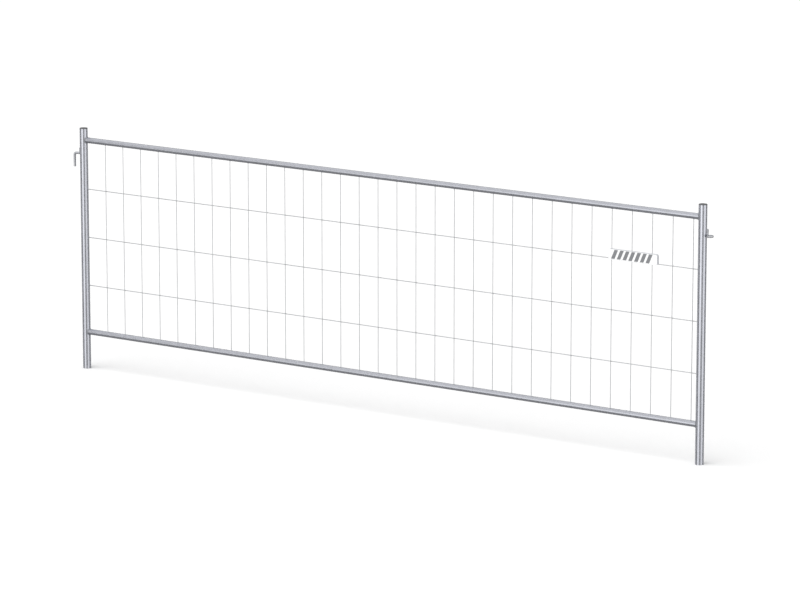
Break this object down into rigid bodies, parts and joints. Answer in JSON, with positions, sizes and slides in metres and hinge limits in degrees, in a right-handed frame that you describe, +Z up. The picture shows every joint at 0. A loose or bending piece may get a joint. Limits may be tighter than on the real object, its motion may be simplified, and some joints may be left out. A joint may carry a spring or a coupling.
{
  "type": "crowd control barrier",
  "caption": "Low galvanised barrier panel: two round posts, top and bottom rails, welded wire mesh, a coupling hook and eye, and a clamp-on sign plate.",
  "frame": {"origin": "midway between the two posts, at the height of the post feet", "axes": "+X along the panel from the hook post to the eye post, +Y through the panel towards its back, +Z up"},
  "size_m": [3.5773, 0.04, 1.2],
  "materials": {
    "galvanised_tube": "hot-dip galvanised, fine spangle, satin",
    "galvanised_wire": "galvanised drawn wire, satin",
    "galvanised_bar": "hot-dip galvanised, matt grey at the bends",
    "cap_plastic": "moulded, fine grain",
    "sign_plastic": "moulded white, semi-gloss, with a printed dark grey hatch",
    "screw_steel": "zinc plated"
  },
  "bodies": {
    "root": {"bottom_rail": "galvanised_tube", "coupling_eye": "galvanised_bar", "coupling_hook": "galvanised_bar", "horizontal_wire_1": "galvanised_wire", "horizontal_wire_2": "galvanised_wire", "horizontal_wire_3": "galvanised_wire", "left_post": "galvanised_tube", "left_post_cap": "cap_plastic", "right_post": "galvanised_tube", "right_post_cap": "cap_plastic", "sign_back": "sign_plastic", "sign_front": "sign_plastic", "sign_screw_1": "screw_steel", "sign_screw_2": "screw_steel", "sign_screw_3": "screw_steel", "sign_screw_4": "screw_steel", "top_rail": "galvanised_tube", "vertical_wire_01": "galvanised_wire", "vertical_wire_02": "galvanised_wire", "vertical_wire_03": "galvanised_wire", "vertical_wire_04": "galvanised_wire", "vertical_wire_05": "galvanised_wire", "vertical_wire_06": "galvanised_wire", "vertical_wire_07": "galvanised_wire", "vertical_wire_08": "galvanised_wire", "vertical_wire_09": "galvanised_wire", "vertical_wire_10": "galvanised_wire", "vertical_wire_11": "galvanised_wire", "vertical_wire_12": "galvanised_wire", "vertical_wire_13": "galvanised_wire", "vertical_wire_14": "galvanised_wire", "vertical_wire_15": "galvanised_wire", "vertical_wire_16": "galvanised_wire", "vertical_wire_17": "galvanised_wire", "vertical_wire_18": "galvanised_wire", "vertical_wire_19": "galvanised_wire", "vertical_wire_20": "galvanised_wire", "vertical_wire_21": "galvanised_wire", "vertical_wire_22": "galvanised_wire", "vertical_wire_23": "galvanised_wire", "vertical_wire_24": "galvanised_wire", "vertical_wire_25": "galvanised_wire", "vertical_wire_26": "galvanised_wire", "vertical_wire_27": "galvanised_wire", "vertical_wire_28": "galvanised_wire", "vertical_wire_29": "galvanised_wire", "vertical_wire_30": "galvanised_wire", "vertical_wire_31": "galvanised_wire", "vertical_wire_32": "galvanised_wire"}
  },
  "joints": []
}
